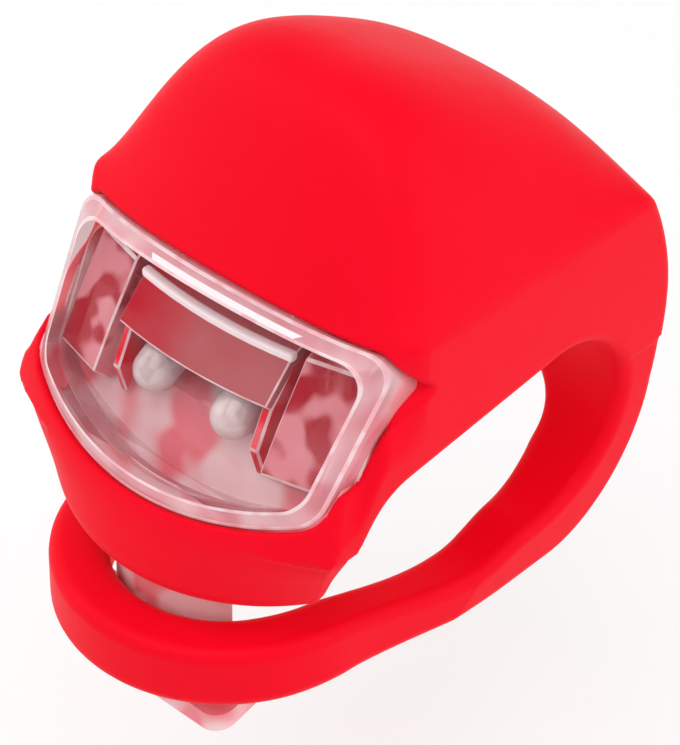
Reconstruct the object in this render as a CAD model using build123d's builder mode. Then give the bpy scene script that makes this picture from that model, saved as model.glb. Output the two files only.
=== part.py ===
from build123d import *
from math import asin, atan, cos, degrees, radians, sin, sqrt, tan
import os

# Wrap-on bicycle light: a silicone hood and strap around a clear capsule with two lamps and two coin
# cells. The X axis is the axis of the loop that grips the bar, the lamps look along -Y, and +Z is up
# through the dome. Lengths are millimetres and angles are degrees.

os.makedirs("parts", exist_ok=True)

# The loop that grips the bar
bar_radius = 7.5
loop_front = -18.9
loop_roof_front = 5.9
loop_corner = 4.5

# The silicone hood
cell_room = 2.05
ridge_z = 16.0
ridge_back = 7.8
crown_rise = 11.8
crown_y = -7.6
crown_front_rise = 8.4
crown_front_y = -13.3
crown_back_rise = 8.6
crown_back_y = 0.6
crown_flatness = 3.0
crown_shoulder = 0.8
crown_draw = 0.9
back_bow = 2.6
back_mid_z = 12.0
back_mid = 9.6
back_mid_bow = 1.56
back_y = 11.1
hood_wall = 1.2
hood_floor = 0.8
parting_z = 6.0
block_floor_z = 4.0
block_shares = (-1, -0.85, -0.5, 0, 0.5, 0.85, 1)

# The slanted front face, measured along the face from its top centre
face_top_y = -17.2
face_top_z = 16.6
face_lean = 29.1
face_radius = 35.8
face_reach = 0.9

# The window in the face
window_margin = 0.9
window_taper = 0.9
window_side = 11.2
window_bottom_drop = 15.3
window_corner = 2.0
window_gap = 0.1
window_reach = 4.2
lens_proud = 0.6
lens_wall = 0.5
lens_rim_gap = 0.1
lens_rim_width = 1.2

# The chin under the window: height, half width, y where the side ends, y of the front
chin_top = (7.4, 14.0, -19.2, -22.4)
chin_upper = (3.0, 13.75, -21.2, -25.3)
chin_lower = (-0.5, 12.1, -20.4, -25.9)
chin_bottom = (-2.8, 10.8, -19.6, -25.4)
chin_floor = (-3.7, 9.7, -19.1, -24.3)
chin_back_y = -18.3

# The strap and its ring end
side_mid_draw = 0.6
side_low_draw = 1.9
ring_y = -16.5
ring_inner = 7.6
ring_band = 4.2
ring_top_z = -5.6
ring_bottom_z = -10.4
ring_rise_start = -13.0
ring_rise_end = -20.0
strap_bottom_z = -12.2
strap_heel_y = 2.2
strap_back_mid_y = 9.0
strap_back_mid_z = -7.6
strap_dip_y = -5.0
strap_dip = 0.9
slot_top_z = -0.5
slot_top_corner = 5.0
strap_round = 0.9
slot_round = 1.2

# The clear capsule
capsule_gap = 0.15
capsule_wall = 0.9
seam_z = 11.5
seam_gap = 0.1
nose_half = 9.8
nose_wall = 0.7
nose_floor_z = 2.2
leg_gap = 0.4
leg_slot_gap = 0.15
leg_wall = 1.8
leg_half_angle = 48.0
tab_half = 7.5
tab_wall = 1.4
tab_back_y = -20.0
tab_front_y = -24.8
tab_gap = 0.35
tab_slope = 13.0
tab_corner = 1.5
leg_sink = 1.1

# Cells, contacts and board
cell_radius = 10.0
cell_height = 3.2
cell_y = -4.0
cell_edge = 0.4
cell_cap_radius = 8.9
cell_step = 0.2
contact_sheet = 0.2
contact_width = 3.0
contact_reach = 6.5
contact_bend = 0.4
contact_land = 0.9
board_half = 7.5
board_front_y = -12.5
board_back_y = 2.0
board_sheet = 1.0
board_corner = 1.5
tray_gap = 0.2
tray_wall = 0.6
tray_height = 4.6
tray_notch = 2.4

# Lamps
led_radius = 1.5
led_length = 5.3
led_flange_radius = 1.9
led_flange = 1.0
led_half_pitch = 3.4
led_tip_y = -20.45
led_tip_z = 7.15
led_tilt = 30.0
lead_radius = 0.25
lead_half_pitch = 1.27
lead_bend = 0.45
lead_rise_y = -15.1
lead_knee_z = 14.2
lead_lean_y = -14.15
lead_land_y = -12.9
lead_end_y = -11.4
box_half = 6.4
box_wall = 0.7
box_sheet = 0.9
box_back_y = -16.0
box_top_z = 13.5
box_bend_y = -17.2
box_bend_z = 13.0
box_brow_y = -19.2
box_brow_z = 10.7
box_front_y = -20.1
box_front_z = 7.3
box_rest_gap = 0.05

# Switch and button
button_y = -6.5
switch_half = 2.25
switch_height = 1.5
switch_well_radius = 1.6
switch_well = 0.8
switch_chamfer = 0.4
switch_cover_sheet = 0.2
plunger_radius = 1.1
plunger_gap = 0.05
plunger_height = 3.0
snap_sheet = 0.12
snap_rise = 0.35
snap_radius = 1.55
button_stem_radius = 1.2
button_radius = 2.0
button_flange_radius = 2.8
button_flange = 0.8
button_sink = 0.7
button_cap_height = 1.85
button_gap = 0.2
button_rest_gap = 0.05
button_round = 0.5
pad_radius = 1.4
pad_gap = 0.25
chip_half = 2.0
chip_height = 1.0
chip_x = -3.6
chip_y = -0.6
chip_lift = 0.2
chip_pins = 4
chip_pin_pitch = 0.95
chip_pin_width = 0.4
chip_pin_reach = 0.7
resistor_length = 1.6
resistor_width = 0.8
resistor_height = 0.45
resistor_x = 4.4
resistor_y = -2.2
resistor_pitch = 1.8

# Sizes that follow from the ones above
capsule_inset = hood_wall + capsule_gap
capsule_floor = hood_floor + capsule_gap
cavity_inset = capsule_inset + capsule_wall
hood_half = cell_radius + cell_room + cavity_inset
side_mid_half = hood_half - side_mid_draw
side_low_half = hood_half - side_low_draw
window_top_half = hood_half - window_margin
window_bottom_half = window_top_half - window_taper
contact_side = cell_radius + tray_gap + tray_wall + contact_sheet
tray_floor_z = bar_radius + capsule_floor + capsule_wall
lower_cell_z = tray_floor_z + contact_sheet
upper_cell_z = lower_cell_z + cell_height
cells_top_z = upper_cell_z + cell_height
board_z = cells_top_z + contact_sheet
board_top_z = board_z + board_sheet
plunger_top_z = board_top_z + plunger_height
roof_z = ridge_z + crown_rise
button_top_z = roof_z - capsule_inset - button_sink
corner_y = loop_front + loop_corner
corner_z = loop_roof_front - loop_corner
nose_drop = nose_floor_z - corner_z
nose_floor_radius = loop_corner + capsule_floor + nose_wall
nose_floor_y = corner_y - sqrt(nose_floor_radius**2 - nose_drop**2)
nose_sweep = 90 - degrees(asin(nose_drop / nose_floor_radius))
ring_outer = ring_inner + ring_band
strap_top_half = side_mid_half + side_mid_draw * parting_z / ridge_z
strap_draft = atan((strap_top_half - side_low_half) / (parting_z - strap_bottom_z))
ring_top_outer = ring_outer + (parting_z - (ring_top_z + ring_bottom_z) / 2) * tan(strap_draft)
leg_radius = ring_inner - leg_gap
tab_back_z = ring_bottom_z - tab_gap
chin_sections = (chin_top, chin_upper, chin_lower, chin_bottom, chin_floor)
leg_bottom_z = tab_back_z - leg_sink
tab_front_z = tab_back_z - (tab_back_y - tab_front_y) * sin(radians(tab_slope)) / cos(radians(tab_slope))
cover_z = board_top_z + switch_height
well_floor_z = cover_z - switch_well
plunger_z = well_floor_z + snap_rise + snap_sheet + plunger_gap
flange_z = button_top_z - button_cap_height - button_flange
led_axis = Vector(0, cos(radians(led_tilt)), sin(radians(led_tilt)))
led_back = Vector(0, led_tip_y, led_tip_z) + led_axis * led_length
far = 60.0

face_normal = Vector(0, -cos(radians(face_lean)), sin(radians(face_lean)))
face_up = Vector(0, sin(radians(face_lean)), cos(radians(face_lean)))
face_top = Vector(0, face_top_y, face_top_z)
face_plane = Plane(origin=face_top, x_dir=(1, 0, 0), z_dir=face_normal)
face_section_plane = Plane(origin=face_top, x_dir=(1, 0, 0), z_dir=face_up)


def side_outline(share, inset):
    """Side view of the hood where x is this share of its half width, drawn inset from the outside."""
    bow = 1 - share**2
    rise = 1 - abs(share) ** crown_flatness
    half = hood_half - inset
    depth = (share * half) ** 2 / (2 * face_radius) + inset
    start = face_top + face_up * face_reach - face_normal * depth
    foot = start - face_up * ((start.Z - block_floor_z) / face_up.Z)
    top = ridge_z - inset
    crown_end = (ridge_back + back_bow * bow - inset, top)
    with BuildSketch(Plane.YZ.offset(share * half)) as outline:
        with BuildLine():
            Spline(
                (start.Y, start.Z),
                (crown_front_y + crown_shoulder * inset + crown_draw * (1 - bow), top + crown_front_rise * rise),
                (crown_y, top + crown_rise * rise),
                (crown_back_y - crown_draw * (1 - bow), top + crown_back_rise * rise),
                crown_end,
            )
            Spline(
                crown_end,
                (back_mid + back_mid_bow * bow - inset, back_mid_z),
                (back_y - inset, parting_z),
            )
            Polyline(
                (back_y - inset, parting_z),
                (back_y - inset, block_floor_z),
                (foot.Y, foot.Z),
                (start.Y, start.Z),
            )
        make_face()
    return outline.sketch


def block_form(inset):
    """The domed block of the hood, lofted across its width."""
    with BuildPart() as block:
        loft([side_outline(share, inset) for share in block_shares])
    return block.part


def chin_outline(height, half, side_y, front_y, inset):
    """Plan view of the chin at one height."""
    with BuildSketch(Plane.XY.offset(height)) as outline:
        with BuildLine():
            Polyline(
                (half - inset, side_y),
                (half - inset, chin_back_y),
                (inset - half, chin_back_y),
                (inset - half, side_y),
            )
            ThreePointArc((inset - half, side_y), (0, front_y + inset), (half - inset, side_y))
        make_face()
    return outline.sketch


def chin_form(inset):
    """The bowl-shaped chin, lofted from the top down to its floor."""
    with BuildPart() as chin:
        loft([chin_outline(*section, inset) for section in chin_sections])
        if inset:
            split(bisect_by=Plane.XY.offset(chin_floor[0] + inset), keep=Keep.TOP)
    return chin.part


def loop_space(grow):
    """The space that the bar fills and what lies behind it, grown by a wall."""
    radius = bar_radius + grow
    floor_z = parting_z + grow
    entry_y = sqrt(radius**2 - floor_z**2)
    roof_z_front = loop_roof_front + grow
    front = loop_front - grow
    with BuildPart() as space:
        with BuildSketch(Plane.YZ):
            with BuildLine():
                Line((far, floor_z), (entry_y, floor_z))
                JernArc((entry_y, floor_z), (-floor_z, entry_y), radius, degrees(asin(entry_y / radius)))
                Line((0, radius), (corner_y, roof_z_front))
                RadiusArc((corner_y, roof_z_front), (front, corner_z), -(loop_corner + grow))
                Polyline((front, corner_z), (front, -far), (far, -far), (far, floor_z))
            make_face()
        extrude(amount=far, both=True)
    return space.part


def window_outline(inset):
    """The window drawn on the slanted face: straight top and sides, a curved lower edge."""
    with BuildSketch(face_plane) as window:
        with BuildLine():
            Polyline(
                (-window_bottom_half + inset, -window_side),
                (-window_top_half + inset, -inset),
                (window_top_half - inset, -inset),
                (window_bottom_half - inset, -window_side),
            )
            ThreePointArc(
                (window_bottom_half - inset, -window_side),
                (0, -window_bottom_drop + inset),
                (-window_bottom_half + inset, -window_side),
            )
        make_face()
        fillet(window.vertices(), window_corner - inset)
    return window.sketch


def behind_face(depth):
    """Everything that lies behind the curved front face, moved in by a depth."""
    with BuildPart() as body:
        with BuildSketch(face_section_plane):
            with Locations((0, face_radius)):
                Circle(face_radius - depth)
        extrude(amount=far, both=True)
    return body.part


def draft_form():
    """Front view of the side faces, which draw in towards the bottom."""
    with BuildPart() as body:
        with BuildSketch(Plane.XZ):
            with BuildLine():
                Polyline(
                    (-hood_half, far),
                    (-hood_half, ridge_z),
                    (-side_mid_half, 0),
                    (-side_low_half, strap_bottom_z),
                    (-side_low_half, -far),
                    (side_low_half, -far),
                    (side_low_half, strap_bottom_z),
                    (side_mid_half, 0),
                    (hood_half, ridge_z),
                    (hood_half, far),
                    close=True,
                )
            make_face()
        extrude(amount=far, both=True)
    return body.part


def capsule_form(inset, floor):
    """The room inside the hood, or the outside of the capsule that fills it."""
    with BuildPart() as body:
        add(block_form(inset))
        add(chin_form(inset))
        add(loop_space(floor), mode=Mode.SUBTRACT)
    return body.part


def cavity_form():
    """The room inside the capsule: the cell well behind and the lamp nose in front."""
    with BuildPart() as nose:
        add(block_form(cavity_inset))
        add(chin_form(cavity_inset))
        with BuildSketch(Plane.YZ) as side:
            with BuildLine():
                Polyline(
                    (nose_floor_y, nose_floor_z),
                    (-far, nose_floor_z),
                    (-far, seam_z),
                    (corner_y, seam_z),
                    (corner_y, corner_z + nose_floor_radius),
                )
                CenterArc((corner_y, corner_z), nose_floor_radius, 90, nose_sweep)
            make_face()
        extrude(side.sketch, amount=nose_half, both=True, mode=Mode.INTERSECT)
    with BuildPart() as body:
        add(block_form(cavity_inset))
        split(bisect_by=Plane.XY.offset(tray_floor_z), keep=Keep.TOP)
        add(nose.part)
    return body.part


def lens_form(rim_depth):
    """The block that fills the window, from its bulged front back to a depth behind the face."""
    with BuildPart() as body:
        extrude(window_outline(window_gap), amount=window_reach, both=True)
        add(behind_face(-lens_proud), mode=Mode.INTERSECT)
        add(behind_face(rim_depth), mode=Mode.SUBTRACT)
    return body.part


def lens_hollow():
    """The room behind the lens, inside its rim."""
    with BuildPart() as body:
        add(window_tunnel(lens_rim_width))
        add(behind_face(lens_wall), mode=Mode.INTERSECT)
    return body.part


def lens_seat():
    """The room in front of the shell that the lens and its rim fill."""
    with BuildPart() as body:
        add(window_tunnel(0))
        add(behind_face(capsule_inset), mode=Mode.SUBTRACT)
    return body.part


def window_tunnel(inset):
    """The window drawn inset and run through the wall in both directions."""
    with BuildPart() as body:
        extrude(window_outline(inset), amount=window_reach, both=True)
    return body.part


def leg_outline(height, grow):
    """Plan view of the wall of the leg, an arc inside the ring."""
    half = leg_half_angle + degrees(grow / leg_radius)
    with BuildSketch(Plane.XY.offset(height)) as outline:
        with BuildLine():
            outer = CenterArc((0, ring_y), leg_radius + grow, 270 - half, 2 * half)
            inner = CenterArc((0, ring_y), leg_radius - leg_wall - grow, 270 - half, 2 * half)
            Line(outer @ 0, inner @ 0)
            Line(outer @ 1, inner @ 1)
        make_face()
    return outline.sketch


def slot_form():
    """The long opening of the strap, from the ring to a rounded arch in the back."""
    with BuildPart() as body:
        with BuildSketch(Plane.XY.offset(slot_top_z)) as plan:
            with BuildLine():
                Polyline(
                    (ring_inner, ring_y),
                    (ring_inner, far),
                    (-ring_inner, far),
                    (-ring_inner, ring_y),
                )
                ThreePointArc((-ring_inner, ring_y), (0, ring_y - ring_inner), (ring_inner, ring_y))
            make_face()
        extrude(plan.sketch, amount=-far)
        with BuildSketch(Plane.XZ) as front:
            with BuildLine():
                Polyline(
                    (-ring_inner, -far),
                    (-ring_inner, slot_top_z),
                    (ring_inner, slot_top_z),
                    (ring_inner, -far),
                    close=True,
                )
            make_face()
            fillet(front.vertices().group_by(Axis.Y)[-1], slot_top_corner)
        extrude(front.sketch, amount=far, both=True, mode=Mode.INTERSECT)
    return body.part


def band_rims(edges):
    """The long outer edges of the band, without those across it, its seams and its joint with the hood."""
    long_ways = edges.filter_by(Axis.X, reverse=True)
    below = long_ways.filter_by(lambda edge: edge.center().Z < parting_z - hood_wall)
    return below.filter_by(lambda edge: abs(edge.center().Y - ring_y) > hood_wall)


def slot_rims(edges):
    """The slot's edges on both faces of the band, without those that run through it."""
    near = edges.filter_by(lambda edge: abs(edge.center().X) < ring_inner + hood_wall / 2)
    low = near.filter_by(lambda edge: edge.center().Z < slot_top_z + hood_wall / 2)
    through = low.filter_by(Axis.Y).filter_by(lambda edge: edge.center().Y > bar_radius)
    return low - through - low.filter_by(Axis.Z)


def coin_cell(base_z):
    """A coin cell: a can with a rounded edge over a slightly smaller cap."""
    with BuildPart() as cell:
        with BuildSketch(Plane.XY.offset(base_z + cell_step)):
            with Locations((0, cell_y)):
                Circle(cell_radius)
        extrude(amount=cell_height - cell_step)
        fillet(cell.edges(), cell_edge)
        with BuildSketch(Plane.XY.offset(base_z)):
            with Locations((0, cell_y)):
                Circle(cell_cap_radius)
        extrude(amount=cell_step)
    return cell.part


def lamp(centre):
    """A round lamp with a domed tip and a flange at its back end."""
    tip = Vector(centre, led_tip_y, led_tip_z)
    barrel = led_length - led_flange
    with BuildPart() as body:
        with BuildSketch(Plane(origin=tip, x_dir=led_axis, z_dir=(1, 0, 0))):
            with BuildLine():
                CenterArc((led_radius, 0), led_radius, 90, 90)
                Polyline(
                    (led_radius, led_radius),
                    (barrel, led_radius),
                    (barrel, led_flange_radius),
                    (led_length, led_flange_radius),
                    (led_length, 0),
                    (0, 0),
                )
            make_face()
        revolve(axis=Axis(tip, led_axis))
    return body.part


def half_capsule(keep, height):
    """The capsule's shell above or below its seam."""
    with BuildPart() as body:
        add(capsule_form(capsule_inset, capsule_floor))
        add(cavity_form(), mode=Mode.SUBTRACT)
        split(bisect_by=Plane.XY.offset(height), keep=keep)
        add(window_tunnel(lens_rim_width), mode=Mode.SUBTRACT)
    return body.part


def finish(piece, name):
    """Names a finished piece, writes it and prints its size."""
    piece.part.label = name
    export_step(piece.part, f"parts/{name}.step")
    box = piece.part.bounding_box()
    print(name, "solids", len(piece.part.solids()), "volume", round(piece.part.volume, 1),
          "box", [round(v, 2) for v in (*box.min, *box.max)])


# The hood: a soft shell over the capsule, open underneath for the bar
with BuildPart() as silicone_hood:
    add(block_form(0))
    add(chin_form(0))
    add(draft_form(), mode=Mode.INTERSECT)
    add(loop_space(0), mode=Mode.SUBTRACT)
    add(capsule_form(hood_wall, hood_floor), mode=Mode.SUBTRACT)
    add(window_tunnel(0), mode=Mode.SUBTRACT)
    extrude(leg_outline(corner_z, leg_slot_gap), amount=-far, mode=Mode.SUBTRACT)
    with BuildSketch(Plane.XY.offset(button_top_z + pad_gap)):
        with Locations((0, button_y)):
            Circle(pad_radius)
    extrude(amount=roof_z - hood_wall / 2 - button_top_z - pad_gap)
finish(silicone_hood, "silicone_hood")

# The strap: a band behind and under the bar that ends in a ring
with BuildPart() as silicone_strap:
    with BuildSketch(Plane.YZ):
        with BuildLine():
            entry = (sqrt(bar_radius**2 - parting_z**2), parting_z)
            ThreePointArc(entry, (bar_radius, 0), (0, -bar_radius))
            Spline(
                (0, -bar_radius),
                (strap_dip_y, -bar_radius - strap_dip),
                (ring_rise_end, ring_top_z),
                tangents=((-1, 0), (-1, 0)),
            )
            Polyline(
                (ring_rise_end, ring_top_z),
                (-far, ring_top_z),
                (-far, ring_bottom_z),
                (ring_rise_end, ring_bottom_z),
            )
            Spline(
                (ring_rise_end, ring_bottom_z),
                (ring_rise_start, strap_bottom_z),
                tangents=((1, 0), (1, 0)),
            )
            Line((ring_rise_start, strap_bottom_z), (strap_heel_y, strap_bottom_z))
            Spline(
                (strap_heel_y, strap_bottom_z),
                (strap_back_mid_y, strap_back_mid_z),
                (back_y, parting_z),
                tangents=((1, 0), (0, 1)),
            )
            Line((back_y, parting_z), entry)
        make_face()
    extrude(amount=hood_half, both=True)
    with BuildSketch(Plane.XY.offset(parting_z)) as plan:
        with BuildLine():
            Polyline(
                (-ring_top_outer, ring_y),
                (-strap_top_half, back_y),
                (-strap_top_half, far),
                (strap_top_half, far),
                (strap_top_half, back_y),
                (ring_top_outer, ring_y),
            )
            ThreePointArc((ring_top_outer, ring_y), (0, ring_y - ring_top_outer), (-ring_top_outer, ring_y))
        make_face()
    extrude(plan.sketch, amount=-far, taper=degrees(strap_draft), mode=Mode.INTERSECT)
    fillet(band_rims(silicone_strap.edges()), strap_round)
    add(slot_form(), mode=Mode.SUBTRACT)
    fillet(slot_rims(silicone_strap.edges(Select.LAST)), slot_round)
finish(silicone_strap, "silicone_strap")

# The clear capsule: the lens and roof above the seam, the cell well, nose and leg below it
with BuildPart() as lens_cover:
    add(half_capsule(Keep.TOP, seam_z + seam_gap))
    add(lens_form(cavity_inset - lens_rim_gap))
    add(loop_space(capsule_floor), mode=Mode.SUBTRACT)
    split(bisect_by=Plane.XY.offset(seam_z + seam_gap), keep=Keep.TOP)
    add(lens_form(capsule_inset - lens_rim_gap))
    add(lens_hollow(), mode=Mode.SUBTRACT)
    with BuildSketch(Plane.XY.offset(seam_z)) as hole:
        with Locations((0, button_y)):
            Circle(button_radius + button_gap)
    extrude(hole.sketch, amount=far, mode=Mode.SUBTRACT)
finish(lens_cover, "lens_cover")

with BuildPart() as case_base:
    add(half_capsule(Keep.BOTTOM, seam_z))
    add(lens_seat(), mode=Mode.SUBTRACT)
    extrude(leg_outline(corner_z, 0), amount=-(corner_z - leg_bottom_z))
    with BuildSketch(Plane.YZ) as tab_side:
        with BuildLine():
            Polyline(
                (tab_back_y, tab_back_z),
                (tab_front_y, tab_front_z),
                (tab_front_y, tab_front_z - tab_wall),
                (tab_back_y, tab_back_z - tab_wall),
                close=True,
            )
        make_face()
    extrude(tab_side.sketch, amount=tab_half, both=True)
    upright = case_base.edges().filter_by(Axis.Z)
    fillet(upright.filter_by_position(Axis.Y, tab_front_y, tab_front_y), tab_corner)
finish(case_base, "case_base")

# The cells and their contacts
with BuildPart() as battery_lower:
    add(coin_cell(lower_cell_z))
finish(battery_lower, "battery_lower")

with BuildPart() as battery_upper:
    add(coin_cell(upper_cell_z))
finish(battery_upper, "battery_upper")

with BuildPart() as battery_tray:
    with BuildSketch(Plane.XY.offset(tray_floor_z)):
        with Locations((0, cell_y)):
            Circle(cell_radius + tray_gap + tray_wall)
            Circle(cell_radius + tray_gap, mode=Mode.SUBTRACT)
    extrude(amount=tray_height)
    with BuildSketch(Plane.XY.offset(tray_floor_z)):
        with Locations((-cell_radius - tray_gap, cell_y)):
            Rectangle(tray_notch, contact_width + 4 * tray_gap)
    extrude(amount=contact_sheet + tray_gap, mode=Mode.SUBTRACT)
finish(battery_tray, "battery_tray")

with BuildPart() as contact_negative:
    with BuildSketch(Plane.XZ.offset(-cell_y)):
        with BuildLine():
            FilletPolyline(
                (contact_reach, tray_floor_z + contact_sheet / 2),
                (-contact_side, tray_floor_z + contact_sheet / 2),
                (-contact_side, cells_top_z - contact_sheet),
                (-board_half, board_top_z + contact_sheet / 2),
                (-board_half + contact_land, board_top_z + contact_sheet / 2),
                radius=contact_bend,
            )
        trace(line_width=contact_sheet)
    extrude(amount=contact_width / 2, both=True)
finish(contact_negative, "contact_negative")

with BuildPart() as contact_positive:
    with BuildSketch(Plane.XY.offset(cells_top_z)):
        with Locations((0, cell_y)):
            SlotOverall(2 * contact_reach, contact_width)
            SlotOverall(contact_reach, contact_width, rotation=90)
    extrude(amount=contact_sheet)
finish(contact_positive, "contact_positive")

# The circuit board and what is soldered on it
with BuildPart() as circuit_board:
    with BuildSketch(Plane.XY.offset(board_z)):
        with Locations((0, (board_front_y + board_back_y) / 2)):
            RectangleRounded(2 * board_half, board_back_y - board_front_y, board_corner)
    extrude(amount=board_sheet)
finish(circuit_board, "circuit_board")

with BuildPart() as control_chip:
    with BuildSketch(Plane.XY.offset(board_top_z)):
        with Locations((chip_x, chip_y)):
            with GridLocations(0, chip_pin_pitch, 1, chip_pins):
                Rectangle(2 * (chip_half + chip_pin_reach), chip_pin_width)
    extrude(amount=contact_sheet)
    with BuildSketch(Plane.XY.offset(board_top_z + chip_lift)):
        with Locations((chip_x, chip_y)):
            Rectangle(2 * chip_half, 2 * chip_half)
    extrude(amount=chip_height)
    chamfer(control_chip.faces().sort_by(Axis.Z)[-1].edges(), chip_lift)
finish(control_chip, "control_chip")

with BuildPart() as resistors:
    with BuildSketch(Plane.XY.offset(board_top_z)):
        with Locations((resistor_x, resistor_y)):
            with GridLocations(0, resistor_pitch, 1, 2):
                Rectangle(resistor_length, resistor_width)
    extrude(amount=resistor_height)
finish(resistors, "resistors")

# The switch: a body with a well, a spring dome, a plunger and a cover sheet that holds it
with BuildPart() as switch_body:
    with BuildSketch(Plane.XY.offset(board_top_z)):
        with Locations((0, button_y)):
            Rectangle(2 * switch_half, 2 * switch_half)
    extrude(amount=switch_height)
    chamfer(switch_body.edges().filter_by(Axis.Z), switch_chamfer)
    with BuildSketch(Plane.XY.offset(well_floor_z)) as well:
        with Locations((0, button_y)):
            Circle(switch_well_radius)
    extrude(well.sketch, amount=switch_well, mode=Mode.SUBTRACT)
finish(switch_body, "switch_body")

with BuildPart() as switch_cover:
    with BuildSketch(Plane.XY.offset(cover_z)):
        with Locations((0, button_y)):
            Rectangle(2 * switch_half, 2 * switch_half)
            Circle(plunger_radius + plunger_gap, mode=Mode.SUBTRACT)
    extrude(amount=switch_cover_sheet)
finish(switch_cover, "switch_cover")

with BuildPart() as switch_dome:
    with BuildSketch(Plane.YZ):
        with BuildLine():
            apex = (button_y, well_floor_z + snap_rise)
            rim = (button_y + snap_radius, well_floor_z)
            TangentArc(apex, rim, tangent=(1, 0))
            Line(rim, (button_y + snap_radius, well_floor_z + snap_sheet))
            TangentArc(
                (button_y, well_floor_z + snap_rise + snap_sheet),
                (button_y + snap_radius, well_floor_z + snap_sheet),
                tangent=(1, 0),
            )
            Line((button_y, well_floor_z + snap_rise + snap_sheet), apex)
        make_face()
    revolve(axis=Axis((0, button_y, 0), (0, 0, 1)))
finish(switch_dome, "switch_dome")

with BuildPart() as switch_plunger:
    with BuildSketch(Plane.XY.offset(plunger_z)):
        with Locations((0, button_y)):
            Circle(snap_radius - plunger_gap)
    extrude(amount=cover_z - plunger_gap - plunger_z)
    with BuildSketch(Plane.XY.offset(plunger_z)):
        with Locations((0, button_y)):
            Circle(plunger_radius)
    extrude(amount=plunger_top_z - plunger_z)
finish(switch_plunger, "switch_plunger")

with BuildPart() as button_cap:
    with BuildSketch(Plane.XY.offset(plunger_top_z + button_rest_gap)):
        with Locations((0, button_y)):
            Circle(button_stem_radius)
    extrude(amount=button_top_z - plunger_top_z - button_rest_gap)
    with BuildSketch(Plane.XY.offset(flange_z)):
        with Locations((0, button_y)):
            Circle(button_flange_radius)
    extrude(amount=button_flange)
    with BuildSketch(Plane.XY.offset(flange_z)):
        with Locations((0, button_y)):
            Circle(button_radius)
    extrude(amount=button_top_z - flange_z)
    fillet(button_cap.faces().sort_by(Axis.Z)[-1].edges(), button_round)
finish(button_cap, "button_cap")

# The lamps, their leads and the clear box around them
with BuildPart() as led_left:
    add(lamp(-led_half_pitch))
finish(led_left, "led_left")

with BuildPart() as led_right:
    add(lamp(led_half_pitch))
finish(led_right, "led_right")

with BuildPart() as led_leads:
    for centre in (-led_half_pitch, led_half_pitch):
        for side in (-lead_half_pitch, lead_half_pitch):
            with BuildLine(Plane.YZ.offset(centre + side)) as path:
                FilletPolyline(
                    (led_back.Y, led_back.Z),
                    (lead_rise_y, led_back.Z + (lead_rise_y - led_back.Y) * led_axis.Z / led_axis.Y),
                    (lead_rise_y, lead_knee_z),
                    (lead_lean_y, cells_top_z),
                    (lead_land_y, board_top_z + lead_radius),
                    (lead_end_y, board_top_z + lead_radius),
                    radius=lead_bend,
                )
            with BuildSketch(path.line ^ 0):
                Circle(lead_radius)
            sweep()
finish(led_leads, "led_leads")

with BuildPart() as light_box:
    with BuildSketch(Plane.YZ) as box_side:
        with BuildLine():
            Polyline(
                (box_back_y, box_top_z),
                (box_bend_y, box_bend_z),
                (box_brow_y, box_brow_z),
                (box_front_y, box_front_z),
                (box_front_y, corner_z),
                (box_back_y, corner_z),
                close=True,
            )
        make_face()
        with Locations((corner_y, corner_z)):
            Circle(nose_floor_radius + box_rest_gap, mode=Mode.SUBTRACT)
    extrude(box_side.sketch, amount=box_half, both=True)
    with BuildSketch(Plane.YZ) as box_inside:
        with BuildLine():
            Polyline(
                (box_back_y, box_top_z - box_sheet),
                (box_bend_y, box_bend_z - box_sheet),
                (box_brow_y, box_brow_z - box_sheet),
                (box_front_y, box_brow_z - box_sheet),
                (box_front_y, corner_z),
                (box_back_y, corner_z),
                close=True,
            )
        make_face()
    extrude(box_inside.sketch, amount=box_half - box_wall, both=True, mode=Mode.SUBTRACT)
finish(light_box, "light_box")
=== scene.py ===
# %% [markdown]
# # A silicone wrap-on bicycle light
# The light is a soft red hood with a ring-ended strap, and a clear capsule with two lamps behind a slanted
# window. The imported CAD model is the frame: every visible piece made here sits where the CAD puts it, and
# all but the strap and the spring dome move with a CAD body. What the CAD already has right, such as the
# cells and the board, only gets a finish.

# %% The frame, its box and the tools
import math

import bpy
import numpy as np
from mathutils import Matrix, Vector


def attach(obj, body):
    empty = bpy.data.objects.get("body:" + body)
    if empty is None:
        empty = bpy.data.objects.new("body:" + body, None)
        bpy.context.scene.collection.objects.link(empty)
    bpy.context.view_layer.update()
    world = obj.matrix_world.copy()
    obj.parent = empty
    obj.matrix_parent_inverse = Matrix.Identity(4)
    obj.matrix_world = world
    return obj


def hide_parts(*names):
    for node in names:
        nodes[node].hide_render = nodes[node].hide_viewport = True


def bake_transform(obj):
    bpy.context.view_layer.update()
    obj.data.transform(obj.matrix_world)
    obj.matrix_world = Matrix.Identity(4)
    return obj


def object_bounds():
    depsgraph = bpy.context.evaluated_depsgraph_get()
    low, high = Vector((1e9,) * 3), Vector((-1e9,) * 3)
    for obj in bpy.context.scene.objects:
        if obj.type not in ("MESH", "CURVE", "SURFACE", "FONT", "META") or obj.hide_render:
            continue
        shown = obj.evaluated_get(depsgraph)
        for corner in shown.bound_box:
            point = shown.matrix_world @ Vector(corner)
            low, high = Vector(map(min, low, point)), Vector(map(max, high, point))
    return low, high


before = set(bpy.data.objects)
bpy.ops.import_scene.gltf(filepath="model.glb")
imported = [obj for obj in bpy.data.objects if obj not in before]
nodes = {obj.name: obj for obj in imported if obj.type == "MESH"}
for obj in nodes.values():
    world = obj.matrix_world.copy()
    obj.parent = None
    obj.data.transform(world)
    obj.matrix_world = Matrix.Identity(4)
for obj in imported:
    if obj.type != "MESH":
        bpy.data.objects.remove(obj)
cad_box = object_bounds()
scene = bpy.context.scene
MM = 0.001
print("CAD box:", [[round(float(v), 4) for v in corner] for corner in cad_box])

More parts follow.
